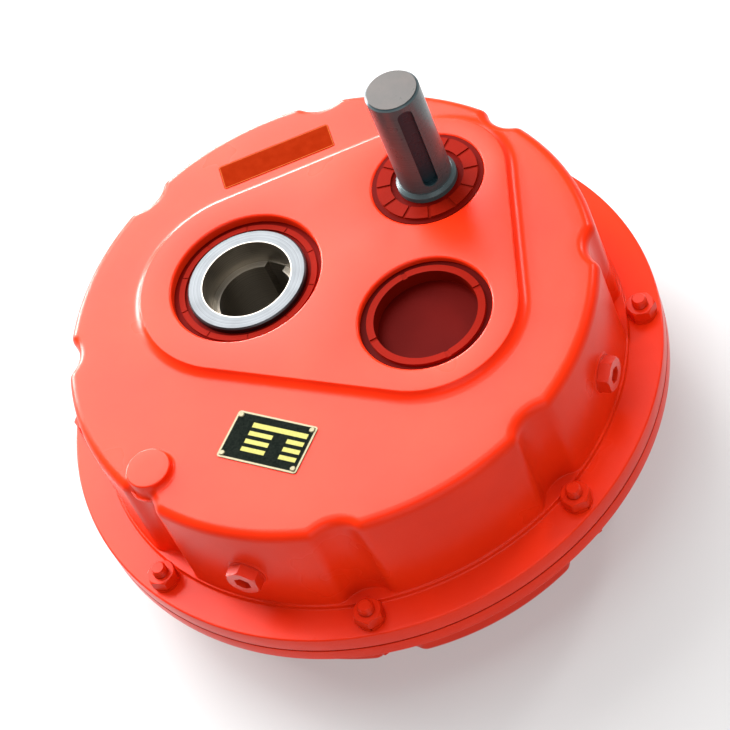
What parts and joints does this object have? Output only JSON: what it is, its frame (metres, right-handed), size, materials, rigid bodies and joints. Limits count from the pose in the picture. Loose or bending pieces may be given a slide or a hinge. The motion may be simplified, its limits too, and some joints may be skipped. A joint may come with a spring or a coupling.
{
  "type": "two-stage parallel-shaft gear reducer",
  "caption": "Round shaft-mounted reducer: a red split casing, hollow keyed output hub, keyed input shaft, and a complete two-stage helical gear train inside",
  "frame": {"origin": "On the output hub's axis, in the middle of the gasket between the two casing halves", "axes": "+Z along the three shafts, out of the front where the input shaft stands; the casing's centre lies to +X and -Y of the output axis"},
  "size_m": [0.4, 0.4, 0.249],
  "materials": {
    "red_paint": "semi_gloss",
    "machined_steel": "satin",
    "bearing_steel": "polished",
    "gear_steel": "satin",
    "spring_steel": "satin",
    "cage_brass": "satin",
    "plate_brass": "satin",
    "gasket_fibre": "matte",
    "label_film": "gloss"
  },
  "bodies": {
    "root": {"front_casing": "red_paint", "rear_casing": "red_paint", "casing_gasket": "gasket_fibre", "casing_bolts": "red_paint", "casing_nuts": "red_paint", "casing_lock_washers": "red_paint", "dowel_pins": "machined_steel", "oil_plugs": "red_paint", "oil_plug_washers": "red_paint", "nameplate": "plate_brass", "nameplate_rivets": "plate_brass", "label_plate": "label_film", "output_front_seal": "red_paint", "output_rear_seal": "red_paint", "input_seal": "red_paint", "intermediate_front_cap": "red_paint", "intermediate_rear_cap": "red_paint", "input_rear_cap": "red_paint", "intermediate_bore_circlips": "spring_steel", "input_bore_circlip": "spring_steel", "output_bearing_outer_rings": "bearing_steel", "intermediate_bearing_outer_rings": "bearing_steel", "input_bearing_outer_rings": "bearing_steel"},
    "output": {"output_hub": "machined_steel", "output_gear": "gear_steel", "output_gear_key": "spring_steel", "output_gear_circlips": "spring_steel", "output_bearing_inner_rings": "bearing_steel"},
    "output_cage": {"output_bearing_cages": "cage_brass", "output_bearing_balls": "bearing_steel"},
    "intermediate": {"intermediate_shaft": "gear_steel", "intermediate_gear": "gear_steel", "intermediate_gear_key": "spring_steel", "intermediate_spacer": "machined_steel", "intermediate_bearing_inner_rings": "bearing_steel"},
    "intermediate_cage": {"intermediate_bearing_cages": "cage_brass", "intermediate_bearing_balls": "bearing_steel"},
    "input": {"input_shaft": "machined_steel", "input_bearing_inner_rings": "bearing_steel"},
    "input_cage": {"input_bearing_cages": "cage_brass", "input_bearing_balls": "bearing_steel"}
  },
  "joints": [
    {"name": "output_spin", "type": "hinge", "parent": "root", "child": "output", "pos_m": [0, 0, 0.014], "axis": [0, 0, 1], "continuous": true},
    {"name": "intermediate_spin", "type": "hinge", "parent": "root", "child": "intermediate", "pos_m": [0.11583, -0.05902, 0.014], "axis": [0, 0, 1], "continuous": true},
    {"name": "input_spin", "type": "hinge", "parent": "root", "child": "input", "pos_m": [0.12339, 0.04905, 0.014], "axis": [0, 0, 1], "continuous": true},
    {"name": "output_cage_spin", "type": "hinge", "parent": "root", "child": "output_cage", "pos_m": [0, 0, 0.014], "axis": [0, 0, 1], "continuous": true},
    {"name": "intermediate_cage_spin", "type": "hinge", "parent": "root", "child": "intermediate_cage", "pos_m": [0.11583, -0.05902, 0.014], "axis": [0, 0, 1], "continuous": true},
    {"name": "input_cage_spin", "type": "hinge", "parent": "root", "child": "input_cage", "pos_m": [0.12339, 0.04905, 0.014], "axis": [0, 0, 1], "continuous": true}
  ],
  "couplings": [
    {"joint": "intermediate_spin", "follows": "output_spin", "ratio": -3.25},
    {"joint": "input_spin", "follows": "output_spin", "ratio": 9.9048},
    {"joint": "output_cage_spin", "follows": "output_spin", "ratio": 0.43415},
    {"joint": "intermediate_cage_spin", "follows": "output_spin", "ratio": -1.325},
    {"joint": "input_cage_spin", "follows": "output_spin", "ratio": 3.9619}
  ]
}
